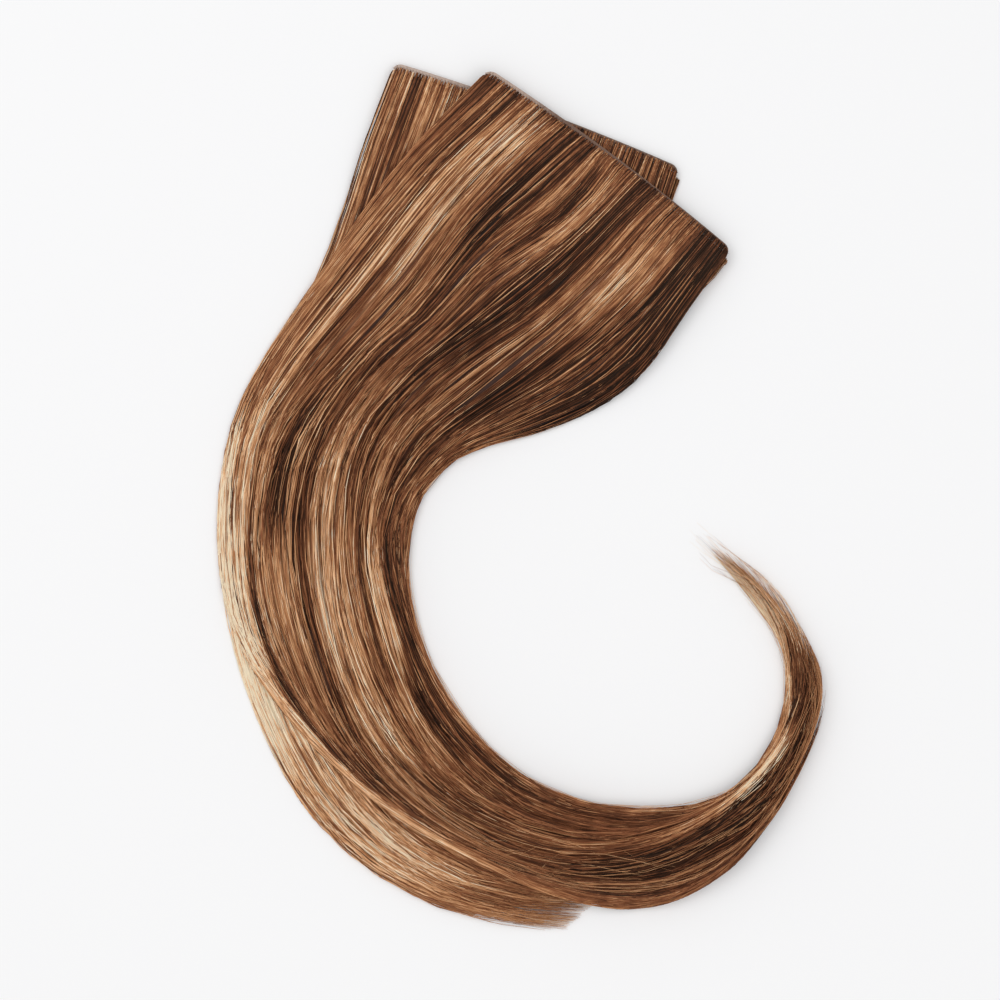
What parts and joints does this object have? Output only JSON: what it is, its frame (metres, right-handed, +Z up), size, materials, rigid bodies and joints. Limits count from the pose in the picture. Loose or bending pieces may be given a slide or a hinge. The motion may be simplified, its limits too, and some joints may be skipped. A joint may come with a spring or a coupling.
{
  "type": "weft hair extension",
  "caption": "Hair extension lying flat: wefts on thin strips, laid one over the other, with long straight hair combed into one C-shaped hank that ends in a curled tip.",
  "frame": {"origin": "middle of the hank's footprint, on the surface that it lies on", "axes": "+X to the side where the tip curls up, +Y along the hank from its lower bend towards the strips, +Z up from the surface"},
  "size_m": [0.2539, 0.3628, 0.0116],
  "materials": {
    "back_hair": "glossy brown and golden hair",
    "front_hair": "glossy brown hair with golden streaks",
    "strip": "clear flexible band over the roots of the hair"
  },
  "bodies": {
    "root": {"back_strip": "strip", "back_under_strip": "strip", "back_hair": "back_hair", "front_strip": "strip", "front_under_strip": "strip", "front_hair": "front_hair"}
  },
  "joints": []
}
